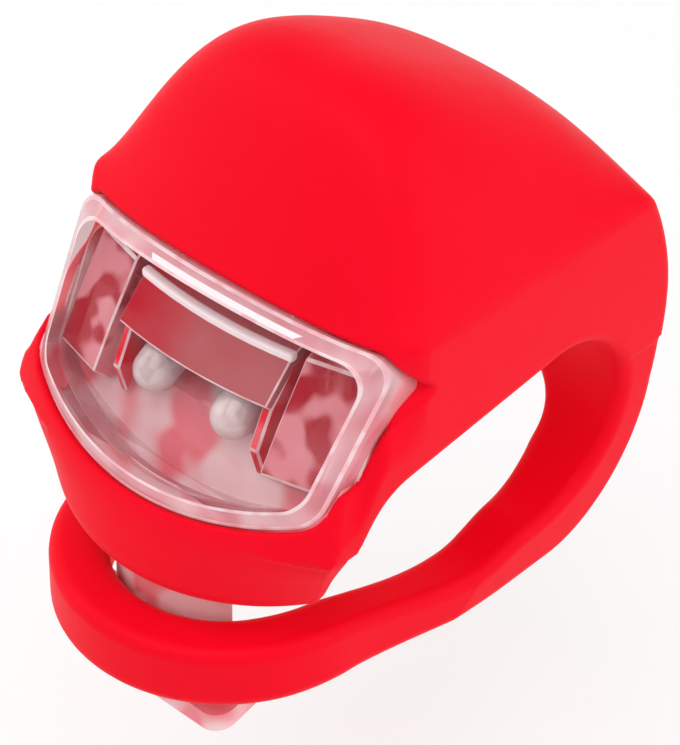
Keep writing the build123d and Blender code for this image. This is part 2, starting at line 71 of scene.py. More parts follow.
# %% [markdown]
# The camera comes first, because the photograph fixes it. It could be set by eye, but then nothing could
# be measured through it, so its angles and its distance were fitted to the object's edges. The picture
# was taken close to the object, from about 42 degrees round to the right of the lamps and 39 degrees up.
# The focal length follows from the picture's scale and the distance, and a small shift puts the object
# where it is in the picture.

# %% The camera of the photograph
AZIMUTH, ELEVATION, ROLL = map(math.radians, (41.551, 38.616, 1.465))
DISTANCE = 217.351
TARGET = np.array([0.0, -3.5, -0.7])
PIXELS_PER_MM = 14.909
WIDTH, HEIGHT = 680, 745
MIDDLE = (360.324, 387.424)
SENSOR = 36.0

back = np.array([math.sin(AZIMUTH) * math.cos(ELEVATION), -math.cos(AZIMUTH) * math.cos(ELEVATION),
                 math.sin(ELEVATION)])
right = np.array([math.cos(AZIMUTH), math.sin(AZIMUTH), 0.0])
up = np.cross(back, right)
right, up = (right * math.cos(ROLL) + up * math.sin(ROLL), up * math.cos(ROLL) - right * math.sin(ROLL))
eye = TARGET + back * DISTANCE
camera_data = bpy.data.cameras.new("camera")
camera_data.sensor_fit = "VERTICAL"
camera_data.sensor_height = SENSOR
camera_data.lens = PIXELS_PER_MM * DISTANCE * SENSOR / HEIGHT
camera_data.shift_x = -(MIDDLE[0] - WIDTH / 2) / HEIGHT
camera_data.shift_y = (MIDDLE[1] - HEIGHT / 2) / HEIGHT
camera_data.clip_start = 0.01
camera = bpy.data.objects.new("camera", camera_data)
camera.matrix_world = Matrix([[right[i], up[i], back[i], eye[i] * MM] for i in range(3)] + [[0, 0, 0, 1]])
scene.collection.objects.link(camera)
scene.camera = camera
print("camera at", np.round(eye, 1), "mm, lens", round(camera_data.lens, 1), "mm")

# %% [markdown]
# The red silicone is one soft moulding: a domed hood, a chin under the window, a wall behind the bar and
# a strap that ends in a ring. Its edges are all rounded, some softly and some crisply. It could be
# sculpted, or put together from patches with bevelled edges, but many rounds meet here and patches are
# hard to keep smooth where they do. So it is described as a field: a number at every point in space that
# is negative inside the silicone and grows with the distance outside. Two fields meet in their larger
# value where forms overlap, and in their smaller value where forms are joined, and both meetings can be
# rounded.

# %% Curves and rounded meetings of fields
def smooth_curve(knots, heights):
    """A cubic spline, straight past both ends: its second slopes solve one linear system."""
    knots, heights = np.array(knots, float), np.array(heights, float)
    gap = np.diff(knots)
    slope = np.diff(heights) / gap
    system, wanted = np.eye(len(knots)), np.zeros(len(knots))
    inner = np.arange(1, len(knots) - 1)
    system[inner, inner - 1] = gap[:-1]
    system[inner, inner] = 2 * (gap[:-1] + gap[1:])
    system[inner, inner + 1] = gap[1:]
    wanted[inner] = 6 * np.diff(slope)
    bend = np.linalg.solve(system, wanted)

    def curve(at):
        """The spline's height and its slope at these places."""
        held = np.clip(at, knots[0], knots[-1])
        i = np.clip(np.searchsorted(knots, held) - 1, 0, len(gap) - 1)
        t, change = held - knots[i], (bend[i + 1] - bend[i]) / gap[i]
        start = slope[i] - gap[i] * (2 * bend[i] + bend[i + 1]) / 6
        rate = start + t * (bend[i] + t * change / 2)
        return heights[i] + t * (start + t * (bend[i] / 2 + t * change / 6)) + rate * (at - held), rate

    return curve


def both(a, b, radius):
    """What lies in both forms, with a circle's arc of this radius in (a, b) where they meet square."""
    return (np.hypot(np.maximum(a + radius, 0), np.maximum(b + radius, 0)) - radius
            + np.minimum(np.maximum(a, b) + radius, 0))


def either(a, b, radius):
    """What lies in one form or the other, with a round hollow between them."""
    return -both(-a, -b, radius)


def soft_both(a, b, width):
    """What lies in both forms: over this width, a parabola lifts the crease by a quarter of it."""
    share = np.clip(0.5 + 0.5 * (a - b) / width, 0, 1)
    return b + (a - b) * share + width * share * (1 - share)


def ramp(at, start, end):
    """0 before start, 1 after end, and an even S curve between them."""
    share = np.clip((at - start) / (end - start), 0, 1)
    return share * share * (3 - 2 * share)


print("rounded square corner:", round(float(both(np.array(-0.2929), np.array(-0.2929), 1.0)), 4))

# %% [markdown]
# The hood's outside comes from five fields: the crown, the cylinder of the slanted face, the two side
# faces and the back. Each is a formula of its own, so one can be changed without the others. All lengths
# are millimetres, in the frame of the CAD part. The crown is a curve from front to back times an arch
# across. The face is set back beside the window, because there the clear lens stands free of the
# silicone.

# %% The crown and the slanted face
HALF, RIDGE = 14.3, 16.0
CROWN_FRONT, FRONT_BOW = -16.76, 0.01221
CROWN_REAR, REAR_BOW = 8.2, 2.6
crown_line = smooth_curve((0, 0.13, 0.3, 0.47, 0.65, 0.83, 1.0), (1.39, 8.5, 11.85, 10.85, 8.4, 5.2, 0.6))

FACE_TOP = np.array([0.0, -17.2, 16.6])
LEAN, FACE_RADIUS = math.radians(29.1), 35.8
FACE_OUT = np.array([0.0, -math.cos(LEAN), math.sin(LEAN)])
FACE_UP = np.array([0.0, math.sin(LEAN), math.cos(LEAN)])
WINDOW_HALF, WINDOW_TAPER = 13.65, 0.1
RECESS_TOP, RECESS_LOW = 3.0, 1.1


def crown(x, y, z):
    """Height above the crown: a curve from front to back, times one minus the cubed share of the width."""
    share = x / HALF
    front, rear = CROWN_FRONT + FRONT_BOW * x * x, CROWN_REAR + REAR_BOW * (1 - share * share)
    height, rate = crown_line((y - front) / (rear - front))
    arch = 1 - np.abs(share) ** 3
    slope_y, slope_x = arch * rate / (rear - front), -3 * share * share / HALF * height
    return (z - RIDGE - arch * height) / np.sqrt(1 + slope_x ** 2 + slope_y ** 2)


def face_depth(y, z):
    """How far a point lies behind the slanted plane of the face."""
    return -((y - FACE_TOP[1]) * FACE_OUT[1] + (z - FACE_TOP[2]) * FACE_OUT[2])


def face_drop(y, z):
    """How far a point lies below the top of the face, along the face."""
    return -((y - FACE_TOP[1]) * FACE_UP[1] + (z - FACE_TOP[2]) * FACE_UP[2])


def face(x, y, z):
    """The slanted front: a leaning cylinder, less a recess beside the window's tapered sides."""
    down = face_drop(y, z)
    past_side = np.abs(x) + WINDOW_TAPER * down - WINDOW_HALF
    beside = ramp(past_side, -1.15, -0.25) * ramp(down, 0.5, 1.6) * (1 - ramp(down, 10.8, 12.4))
    recess = RECESS_TOP - (RECESS_TOP - RECESS_LOW) * ramp(down, 0, 5.5)
    return np.hypot(x, FACE_RADIUS - face_depth(y, z)) - FACE_RADIUS + recess * beside


print("the crown's line over the middle:", np.round(RIDGE + crown_line(np.linspace(0, 1, 6))[0], 1), "mm")

# %% [markdown]
# The side faces lean in towards the bar, and the back runs from the crown's end down round a heel that
# grips the bar from behind. A curve in height, an ellipse and a plane follow one another there, each
# where it is the outside. The curve and the ellipse are a tenth of a millimetre apart where they meet,
# which leaves a fine line across the back.

# %% The sides and the back
SIDE_LEAN, SIDE_LEAN_TOP, SIDE_STEP = 0.002449, 15.66, 1.3
FLOOR, FLOOR_RISE = -12.2, 1.8
HEEL_Y, HEEL_LONG = 2.2, 8.9
back_line = smooth_curve((0, 3, 6, 12, 16, 20), (11.2, 11.35, 11.35, 10.1, 8.3, 5.9))


def sides(x, y, z):
    """The side faces draw in with the square of the depth below the ridge, and by a step beside the lens."""
    step = SIDE_STEP * ramp(-y, 13.2, 16.0) * ramp(z, 8, 13)
    return np.abs(x) - HALF + SIDE_LEAN * np.minimum(z - SIDE_LEAN_TOP, 0) ** 2 + step


def rear(x, y, z):
    """The back: a curve in height that bows across, an ellipse round the heel, then the flat floor."""
    share = x / HALF
    line, rate = back_line(z)
    bow = REAR_BOW * (1 - share * share) * np.clip((z - 6) / 10, 0, 1.3)
    wall = (y - line - bow) / np.sqrt(1 + rate ** 2)
    heel_y = y - HEEL_Y
    growth = 2 * np.hypot(heel_y / HEEL_LONG ** 2, z / FLOOR ** 2) + 1e-6
    ellipse = ((heel_y / HEEL_LONG) ** 2 + (z / FLOOR) ** 2 - 1) / growth
    floor = np.maximum(FLOOR + FLOOR_RISE * ramp(-y, 2, 20) - z, y - HEEL_Y - HEEL_LONG)
    return np.where(z >= 0, wall, np.where(heel_y > 0, ellipse, floor))


print("the back wall at 6, 12 and 16 mm:", np.round(back_line(np.array([6, 12, 16]))[0], 1), "mm")

# %% [markdown]
# The chin under the window is a bowl: at each height it has a half width, straight sides and an arc
# across the front, so three splines in height give its plan, and a sloping plane takes off its upper
# corners. The loop is the round hole for the bar, which runs forward under the hood's roof. The block is
# the hood before it is hollowed. Behind, it ends at a level of 3 mm, and the strap's rounder corners go
# on below it.

# %% The chin, the loop and the block
CHIN_HEIGHTS = (-3.7, -2.8, -0.5, 3.0, 7.4)
CHIN_LOW, CHIN_TOP = CHIN_HEIGHTS[0], CHIN_HEIGHTS[-1]
chin_half = smooth_curve(CHIN_HEIGHTS, (9.7, 10.8, 12.1, 13.75, 14.0))
chin_side = smooth_curve(CHIN_HEIGHTS, (-19.1, -19.6, -20.4, -21.2, -19.2))
chin_front = smooth_curve(CHIN_HEIGHTS, (-24.3, -25.4, -25.9, -25.3, -22.4))
CORNER_X, CORNER_OUT, CORNER_UP = 13.1, 0.965, 0.263
BAR, ROOF_FRONT, LOOP_FRONT, LOOP_CORNER = 7.5, 5.9, -18.9, 4.5
CHIN_BACK = LOOP_FRONT + 3.0
CHIN_ROUND, EDGE_ROUND = 1.0, 0.5
BLOCK_LOW = 3.0
BROW_SOFT, BACK_SOFT, SIDE_SOFT, SIDE_SOFTER = 0.6, 1.0, 0.4, 0.7


def chin(x, y, z):
    """At each height straight sides and, in front, the arc through the sides' ends and the front."""
    height = np.clip(z, CHIN_LOW, CHIN_TOP)
    half, side, front = (line(height)[0] for line in (chin_half, chin_side, chin_front))
    radius = (half ** 2 + (side - front) ** 2) / (2 * (side - front))
    plan = np.maximum(np.abs(x) - half, np.hypot(x, y - front - radius) - radius)
    corner = CORNER_OUT * (np.abs(x) - CORNER_X) + CORNER_UP * (z - CHIN_TOP)
    top = np.maximum(z - CHIN_TOP, corner)
    return both(both(plan, CHIN_LOW - z, CHIN_ROUND), np.maximum(y - CHIN_BACK, top), EDGE_ROUND)


def loop(y, z):
    """The hole for the bar: a circle behind its axis; in front of it a sloping roof with a rounded corner."""
    slope = math.atan2(BAR - ROOF_FRONT, -(LOOP_FRONT + LOOP_CORNER))
    roof = (z - BAR) * math.cos(slope) - y * math.sin(slope)
    return np.where(y > 0, np.hypot(y, z) - BAR, both(roof, LOOP_FRONT - y, LOOP_CORNER))


def block(x, y, z):
    """The hood before it is hollowed: crown, face, sides and back, with a ridge that softens backwards."""
    shell = soft_both(crown(x, y, z), face(x, y, z), BROW_SOFT)
    shell = soft_both(shell, rear(x, y, z), BACK_SOFT)
    ridge = SIDE_SOFT + (SIDE_SOFTER - SIDE_SOFT) * ramp(y, -6, 8)
    shell = soft_both(shell, sides(x, y, z), ridge)
    return either(np.maximum(shell, BLOCK_LOW - z), chin(x, y, z), EDGE_ROUND)


print("the chin is", 2 * max(round(float(chin_half(z)[0]), 1) for z in CHIN_HEIGHTS), "mm wide")

# %% [markdown]
# The window is a trapezoid with a curved lower edge, drawn on the slanted face. The same plan, drawn
# smaller by an inset, later gives every ring of the lens, so lens and window can't drift apart.

# %% The window's plan
BROW_DROP, BROW_HALF = 0.45, 13
ARC_ABOVE, ARC_RADIUS = 7.8, 23.25
UPPER_CORNER, LOWER_CORNER = 2.0, 1.0


def window_plan(x, down, inset):
    """The window's outline, less an inset: sloping sides, a nearly straight top and an arc below."""
    side = np.abs(x) - WINDOW_HALF + WINDOW_TAPER * down + inset
    below = np.hypot(x, down + ARC_ABOVE) - ARC_RADIUS + inset
    above = inset - down + BROW_DROP * (1 - (x / BROW_HALF) ** 6)
    return both(both(side, above, UPPER_CORNER), below, LOWER_CORNER)


def window(x, y, z):
    """The window's outline run straight through the wall, along the face's normal."""
    return window_plan(x, face_drop(y, z), 0)


print("the window is", round(ARC_RADIUS - ARC_ABOVE - BROW_DROP, 1), "mm high along the face")

# %% [markdown]
# The strap holds the light on the bar and is hooked by its ring. It is what lies inside the back's curve
# and outside the bar's, in a plan that narrows to the ring. Its long slot widens a little in the middle
# and ends in an arch, so the band has two sides that can stretch.

# %% The strap and its slot
RING_Y, RING_INNER, RING_OUTER = -16.5, 7.6, 11.6
SLOT_LONG, SLOT_BELLY, SLOT_TOP, SLOT_ARCH = 22.0, 4.0, -0.5, 5.0
STRAP_HALF, STRAP_LONG, STRAP_GROWTH = 13.9, 18.5, 1.3
STRAP_DIP, RING_RISE = 0.9, 2.8
STRAP_ROUND, SLOT_ROUND = 1.0, 1.2


def slot(x, y, z):
    """The strap's opening: the ring's circle in front, then a slightly bellied slot with an arched end."""
    share = np.clip((y - RING_Y) / SLOT_LONG, 0, 1)
    plan = np.where(y < RING_Y, np.hypot(x, y - RING_Y) - RING_INNER,
                    np.abs(x) - RING_INNER - SLOT_BELLY * share * (1 - share))
    return both(plan, z - SLOT_TOP, SLOT_ARCH)


def strap(x, y, z):
    """The band between the bar's loop and the back's curve, inside the ring's plan, without its slot."""
    share = np.clip((y - RING_Y) / STRAP_LONG, 0, 1)
    wide = RING_OUTER + (STRAP_HALF - RING_OUTER) * share ** STRAP_GROWTH
    plan = np.where(y < RING_Y, np.hypot(x, y - RING_Y) - RING_OUTER, np.abs(x) - wide)
    top = z + BAR + STRAP_DIP * ramp(-y, 0, 5) - RING_RISE * ramp(-y, 5, 21)
    under = np.where(y > 0, BAR - np.hypot(y, z), top)
    outer = both(np.maximum(plan, sides(x, 0, z)), rear(x, y, z), STRAP_ROUND)
    return both(both(outer, under, STRAP_ROUND), -slot(x, y, z), SLOT_ROUND)


print("the ring is", 2 * RING_OUTER, "mm wide round a hole of", 2 * RING_INNER, "mm")

# %% [markdown]
# The silicone is a shell: the same block, one wall thickness smaller, is the room for the clear capsule.
# The window and a curved slot for the capsule's leg are cut through, and the strap is joined on.

# %% The whole silicone
WALL, LOOP_WALL, WINDOW_DEEP = 1.2, 0.8, 4.2
LEG_RING, LEG_HALF, LEG_WIDE, LEG_TOP = 6.3, 1.05, 5.5, 1.4
LOOP_ROUND, LIP_ROUND = 0.8, 0.35
STRAP_END = 8.0


def silicone(x, y, z):
    """The hood less the loop, the capsule's room, the window and the leg's slot, joined to the strap."""
    solid = block(x, y, z)
    bar_hole = loop(y, z)
    hood = both(solid, -bar_hole, LOOP_ROUND)
    room = np.maximum(solid + WALL, LOOP_WALL - bar_hole)
    tunnel = np.maximum(window(x, y, z), face_depth(y, z) - WINDOW_DEEP)
    ring = np.abs(np.hypot(x, y - RING_Y) - LEG_RING) - LEG_HALF
    leg = np.maximum(np.maximum(ring, np.abs(x) - LEG_WIDE), np.maximum(y - RING_Y, z - LEG_TOP))
    hood = both(np.maximum(np.maximum(hood, -room), -leg), -tunnel, LIP_ROUND)
    return np.minimum(hood, np.maximum(strap(x, y, z), z - STRAP_END))


print("silicone at the crown's top and the bar's axis:",
      np.round(silicone(np.zeros(2), np.array([-7.6, 0.0]), np.array([27.8, 0.0])), 2))

# %% [markdown]
# A surface net turns a field into a mesh. The space is cut into small cubes. Each cube that the surface
# passes through gets one vertex, at the mean of the places where the surface cuts the cube's edges, and
# each cut edge becomes one four-sided face between the four cubes round it. A few Newton steps then put
# every vertex on the surface itself. Metaballs and a Remesh modifier do something alike, but they know
# only balls or a mesh, where this takes any formula, and its faces are even, so they shade smoothly.

# %% A surface net
def field_slope(field, points, reach=0.02):
    """The field's slope at the points, from differences a short reach to both sides."""
    moved = points[None] + reach * np.concatenate([np.eye(3), -np.eye(3)])[:, None]
    value = field(*moved.reshape(-1, 3).T).reshape(6, -1)
    return ((value[:3] - value[3:]) / (2 * reach)).T


def settle(field, points, times=3, longest=0.2, flattest=0.05):
    """Newton steps onto the surface: the value over the slope's square, along the slope, never a long way."""
    for _ in range(times):
        slope = field_slope(field, points)
        step = field(*points.T) / np.maximum((slope ** 2).sum(axis=1), flattest)
        points = points - np.clip(step, -longest, longest)[:, None] * slope
    return points


def surface_net(field, low, high, step):
    """Vertices, the cube of each vertex and outward four-sided faces of the surface where the field is 0."""
    low = np.array(low, float)
    counts = np.ceil((np.array(high) - low) / step).astype(int) + 1
    cubes = counts - 1
    values = field(*(low[:, None, None, None] + step * np.indices(counts)))
    owners, cuts = [], []
    for axis in range(3):
        along, first, second = np.roll(np.eye(3, dtype=int), axis, axis=1)
        ahead = tuple(slice(a, None) for a in along)
        behind = tuple(slice(None, -1 if a else None) for a in along)
        start = np.argwhere((values[ahead] < 0) != (values[behind] < 0))
        near, far = values[tuple(start.T)], values[tuple((start + along).T)]
        ring = np.stack([start, start - first, start - first - second, start - second], axis=1)
        ring = np.where((near < 0)[:, None, None], ring, ring[:, ::-1])
        owners.append(np.ravel_multi_index(ring.reshape(-1, 3).T, cubes).reshape(-1, 4))
        cuts.append(low + step * (start + (near / (near - far))[:, None] * along))
    owners, cuts = np.concatenate(owners), np.concatenate(cuts)
    used, faces = np.unique(owners, return_inverse=True)
    faces = faces.reshape(-1, 4)
    share = np.bincount(faces.ravel())
    points = np.stack([np.bincount(faces.ravel(), np.repeat(column, 4)) / share for column in cuts.T], axis=1)
    return settle(field, points), np.stack(np.unravel_index(used, cubes), axis=1), faces


def new_piece(name, points, faces, smooth=True):
    """A mesh object from points in millimetres and lists of corners, at the origin."""
    mesh = bpy.data.meshes.new(name)
    mesh.from_pydata((np.asarray(points) * MM).tolist(), [], [list(map(int, face)) for face in faces])
    mesh.polygons.foreach_set("use_smooth", [smooth] * len(mesh.polygons))
    mesh.update()
    piece = bpy.data.objects.new(name, mesh)
    scene.collection.objects.link(piece)
    print(name, len(points), "points", len(faces), "faces")
    return piece


ball = surface_net(lambda x, y, z: np.sqrt(x * x + y * y + z * z) - 1, (-1.3,) * 3, (1.3,) * 3, 0.2)[0]
out = np.linalg.norm(ball, axis=1)
print("the points of a trial ball of radius 1 lie",
      out.min().round(4), "to", out.max().round(4), "from its middle")

# %% [markdown]
# The hood is stiff enough to keep its shape, and the strap swings open at its back wall, so the one
# moulding is parted at a level of 6 mm, where it is solid. The layer of cubes there is centred on that
# level: its vertices are put exactly on it and are shared by both pieces, and a flat cap closes each. The
# normals come from the field's slope instead of the faces, so that no seam shows where the two pieces
# meet.

# %% Hood and strap from the one field
PART_Z, STEP = 6.0, 0.3
NET_LOW, NET_HIGH = (-14.8, -28.9, -12.6), (14.8, 11.9, 28.6)
BACK_FROM, STRAP_BELOW = -12, -4.6
below = math.ceil((PART_Z - NET_LOW[2]) / STEP)
net_low = (NET_LOW[0], NET_LOW[1], PART_Z - STEP * (below + 0.5))
points, cubes, faces = surface_net(silicone, net_low, NET_HIGH, STEP)
in_back = points[:, 1] > BACK_FROM
on_cut = (cubes[:, 2] == below) & in_back
points[on_cut, 2] = PART_Z
in_strap = np.where(in_back, cubes[:, 2] <= below, points[:, 2] < STRAP_BELOW)
strap_face = in_strap[faces].all(axis=1)


def half_of(name, chosen, upward):
    """One side of the parting: its faces, and a cap with its corners in order round the cut."""
    kept, renumbered = np.unique(faces[chosen], return_inverse=True)
    rim = np.flatnonzero(on_cut[kept])
    middle = points[kept[rim]].mean(axis=0)
    turn = np.arctan2(points[kept[rim], 1] - middle[1], points[kept[rim], 0] - middle[0])
    cap = rim[np.argsort(turn)]
    piece = new_piece(name, points[kept], [*renumbered.reshape(-1, 4), cap if upward else cap[::-1]])
    slope = field_slope(silicone, points[kept])
    slope /= np.linalg.norm(slope, axis=1)[:, None]
    piece.data.normals_split_custom_set_from_vertices(slope.tolist())
    return piece


hood = half_of("hood", ~strap_face, False)
strap_piece = half_of("strap", strap_face, True)
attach(hood, "lamp")
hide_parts("silicone_hood")
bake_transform(strap_piece)
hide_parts("silicone_strap")

# %% [markdown]
# The clear lens fills the window. It is a plate with a wide chamfer round its edge and a rim behind it. A
# plane with Solidify and Bevel would do, but its edges wouldn't follow the window's plan on the curved
# face. Seen from the middle, the plan has one distance in every direction, so the whole lens is a grid of
# two parameters: the direction, and a walk from the middle of the front over the chamfer and the rim to
# the middle of the back.

# %% Rings of the window's plan on the curved face
MIDDLE_DROP = 7.2


def skin(name, rings):
    """Closed rings joined by four-sided faces, with a fan of triangles over the first and the last ring."""
    count, around = len(rings), rings.shape[1]
    grid = np.arange(count * around).reshape(count, around)
    ahead = np.roll(grid, -1, axis=1)
    quads = np.stack([grid[:-1], grid[1:], ahead[1:], ahead[:-1]], axis=-1).reshape(-1, 4)
    first, last = np.full(around, count * around), np.full(around, count * around + 1)
    caps = [np.stack([first, grid[0], ahead[0]], axis=1), np.stack([last, ahead[-1], grid[-1]], axis=1)]
    points = np.concatenate([rings.reshape(-1, 3), [rings[0].mean(axis=0), rings[-1].mean(axis=0)]])
    return new_piece(name, points, [*quads.tolist(), *caps[0].tolist(), *caps[1].tolist()])


def window_edge(angle, inset):
    """How far the outline lies from the window's middle in each direction, by Newton steps on its field."""
    reach = np.full(angle.shape, 8.0)
    for _ in range(12):
        value, beyond = (window_plan(far * np.sin(angle), MIDDLE_DROP + far * np.cos(angle), inset)
                         for far in (reach, reach + 0.01))
        reach = reach - 0.01 * value / (beyond - value)
    return reach


def on_face(x, down, depth):
    """The point this far below the top of the face and this deep behind its cylinder."""
    behind = FACE_RADIUS - np.sqrt((FACE_RADIUS - depth) ** 2 - x * x)
    return FACE_TOP - down[..., None] * FACE_UP - behind[..., None] * FACE_OUT + x[..., None] * np.eye(3)[0]


def lens_ring(angle, share, inset, depth):
    """One ring of the lens: the outline at an inset, shrunk to a share of itself, at a depth."""
    reach = share * window_edge(angle, inset)
    return on_face(reach * np.sin(angle), MIDDLE_DROP + reach * np.cos(angle), depth)


angle = np.linspace(0, 2 * math.pi, 288, endpoint=False)
reach = np.round(window_edge(angle, 0.1)[::72], 1)
print("the lens reaches", reach, "mm down, right, up and left from its middle")

# %% [markdown]
# In the photograph the lens's rim looks frosted, with fine pale glints along its bends, and the upper chamfer
# has a white highlight where a lamp is mirrored. Both are painted as colour here. Each ring of faces gets its
# own material slot, which is simpler than painting the lines.

# %% The lens and its material slots
CLEAR, FROSTED, WHITE_HIGHLIGHT, PALE_GLINT = range(4)
HIGHLIGHT_STRIPE_X, HIGHLIGHT_STRIPE_HALF = 1.6, 6.6
plate = (0.2, 0.4, 0.6, 0.8, 0.93, 0.985, 1.0)
chamfer = [(1, 1.15, -0.59), (1, 1.05, -0.55), (1, 0.7, -0.375), (1, 0.35, -0.2), (1, 0.14, -0.08)]
side_wall = [(1, 0.1, 0.05), (1, 0.1, 2.5), (1, 0.2, 2.6), (1, 1.1, 2.6), (1, 1.2, 2.5), (1, 1.3, 0.65),
             (1, 1.5, 0.5)]
rim = chamfer + side_wall
front = [(share, 1.25, -0.6) for share in plate]
back_face = [(share, 1.5, 0.5) for share in plate[-2::-1]]
lens = skin("lens", np.stack([lens_ring(angle, *station) for station in front + rim + back_face]))

# The upper chamfer's stripe is a painted highlight, a lamp mirrored there, given a white material.
highlight_stripe = (np.abs(window_edge(angle, 0.3) * np.sin(angle) - HIGHLIGHT_STRIPE_X) < HIGHLIGHT_STRIPE_HALF) & (np.cos(angle) < 0)
edge = len(front)
# Pale rings along the lens's bends get painted glints, and the upper chamfer's stripe gets the white painted
# highlight.
ring_slots = {edge + k: FROSTED for k in range(len(rim) - 1)}
ring_slots.update({edge - 1: PALE_GLINT, edge: PALE_GLINT, edge + 1: np.where(highlight_stripe, WHITE_HIGHLIGHT, FROSTED), edge + 3: PALE_GLINT})
lens_slots = np.full(len(lens.data.polygons), CLEAR)
for ring, slot_number in ring_slots.items():
    lens_slots[ring * len(angle):(ring + 1) * len(angle)] = slot_number
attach(lens, "lamp")
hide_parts("lens_cover")
print("faces of the lens in each slot:", np.bincount(lens_slots))

# %% [markdown]
# Behind the lens stands the light box: a clear brow over the two lamps with a wall at each side, between two
# clear end blocks. On clear plastic the polished edges catch the light and look white. Real refraction would
# show that too, but slowly and with much noise, so these highlights are painted instead. A Bevel modifier
# puts its new faces into a second material slot, which holds a pale painted glint, and two slim bars with a
# white painted highlight stand on the brow's bends.

# %% The light box from side outlines
def prism(name, outlines, widths, stations=9):
    """Side outlines (y, z) run across from one x to another, bent as the face is, and joined in one piece."""
    points, faces = [], []
    for outline, (start, end) in zip(outlines, widths):
        count, base = len(outline), len(points)
        x = np.linspace(start, end, stations)[:, None]
        y, z = np.array(outline).T
        bent = y + x * x / (2 * FACE_RADIUS)
        points += np.stack([x + 0 * y, bent, z + 0 * x], axis=-1).reshape(-1, 3).tolist()
        ring = np.arange(count * stations).reshape(stations, count)
        ahead = np.roll(ring, -1, axis=1)
        quads = np.stack([ring[:-1], ahead[:-1], ahead[1:], ring[1:]], axis=-1).reshape(-1, 4)
        faces += (base + quads).tolist() + [(base + ring[0, ::-1]).tolist(), (base + ring[-1]).tolist()]
    return new_piece(name, points, faces, smooth=False)


def bevel(piece, width, segments=1, slot_number=-1):
    """Rounds a piece's edges; with a slot number the new faces get that material."""
    modifier = piece.modifiers.new("edge_highlights", "BEVEL")
    modifier.width, modifier.segments, modifier.material = width * MM, segments, slot_number
    modifier.limit_method, modifier.angle_limit = "ANGLE", math.radians(25)


BROW_X, CHEEK_X, HIGHLIGHT_BAR_X = 6.4, 5.7, 6.5
END_INNER, END_OUTER = 7.3, 11.4
HIGHLIGHT_BAR_HALF = 0.35
roof = [(-14.9, 13.9), (-17.5, 13.1), (-20.0, 10.4), (-19.5, 9.9), (-17.2, 12.2), (-14.9, 13.0)]
cheek = [(-15.6, 13.2), (-17.5, 12.3), (-19.5, 9.8), (-20.7, 7.3), (-20.0, 4.9), (-18.9, 6.4), (-17.2, 7.3),
         (-15.6, 7.7)]
end_side = [(-15.2, 14.5), (-17.6, 13.3), (-20.1, 9.4), (-21.7, 6.6), (-20.2, 5.0), (-16.0, 6.4)]
# Two slim bars on the brow's bends carry a white painted highlight.
highlight_bar_outlines = [[(y - HIGHLIGHT_BAR_HALF, z - HIGHLIGHT_BAR_HALF), (y - HIGHLIGHT_BAR_HALF, z + HIGHLIGHT_BAR_HALF),
         (y + HIGHLIGHT_BAR_HALF, z + HIGHLIGHT_BAR_HALF), (y + HIGHLIGHT_BAR_HALF, z - HIGHLIGHT_BAR_HALF)]
        for y, z in ((-15.1, 14.0), (-17.5, 12.95))]
light_box = prism("light_box", [roof], [(-BROW_X, BROW_X)])
cheeks = prism("light_box_cheeks", [cheek] * 2, [(-BROW_X, -CHEEK_X), (CHEEK_X, BROW_X)], 2)
end_blocks = prism("lens_end_blocks", [end_side] * 2, [(-END_OUTER, -END_INNER), (END_INNER, END_OUTER)], 2)
edge_highlights = prism("light_box_edges", highlight_bar_outlines, [(-HIGHLIGHT_BAR_X, HIGHLIGHT_BAR_X)] * 2)
# The bevels' new faces go into slot 1, which holds the painted pale glint.
bevel(light_box, 0.1, slot_number=1)
bevel(cheeks, 0.14, slot_number=1)
bevel(end_blocks, 0.14, slot_number=1)
bevel(edge_highlights, 0.2, segments=2)
for piece in (light_box, cheeks, end_blocks, edge_highlights):
    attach(piece, "lamp")
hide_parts("light_box")

# %% [markdown]
# Each lamp is a round-nosed body of clear resin with a flange. Inside it one sees the metal cup that
# holds the chip. Both are round about the lamp's axis, so a profile turned about that axis gives each of
# them, as the Screw modifier would, but with closed poles.

# %% The two lamps
LED_TIP, LED_TILT = np.array([0.0, -20.45, 7.15]), math.radians(30)
LED_AXIS = np.array([0.0, math.cos(LED_TILT), math.sin(LED_TILT)])
LED_UP = np.array([0.0, -math.sin(LED_TILT), math.cos(LED_TILT)])
LED_X, LED_RADIUS, FLANGE_RADIUS = 3.4, 1.5, 1.9


def turned(name, x, profile, around=48):
    """A profile of (distance from the tip, radius) turned about the lamp's axis."""
    along, radius = np.array(profile, float).T[:, :, None]
    turn = np.linspace(0, 2 * math.pi, around, endpoint=False)
    rings = (LED_TIP + np.array([x, 0, 0]) + along[..., None] * LED_AXIS
             + (radius * np.cos(turn))[..., None] * LED_UP
             + (radius * np.sin(turn))[..., None] * np.eye(3)[0])
    return skin(name, rings)


nose = [(LED_RADIUS * (1 - math.cos(a)), LED_RADIUS * math.sin(a))
        for a in np.linspace(0.12, math.pi / 2, 12)]
barrel = [(1.6, LED_RADIUS), (4.25, LED_RADIUS), (4.3, 1.52)]
flange = [(4.3, 1.85), (4.35, FLANGE_RADIUS), (5.25, FLANGE_RADIUS), (5.3, 1.85)]
cup = [(3.0, 0.3), (2.2, 0.75), (2.15, 0.85), (2.3, 0.9), (3.0, 0.6), (3.2, 0.45), (5.0, 0.35)]
lamps, cups = [], []
for side, x in (("left", -LED_X), ("right", LED_X)):
    lamps.append(turned("lamp_" + side, x, nose + barrel + flange))
    cups.append(turned("lamp_cup_" + side, x, cup, 24))
    for piece in (lamps[-1], cups[-1]):
        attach(piece, "lamp")
    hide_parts("led_" + side)

# %% [markdown]
# The spring dome in the switch gives way under the plunger. Here it is made at rest: a parabola turned about
# the switch's axis, with a thin sheet's thickness, at the level of the CAD piece.

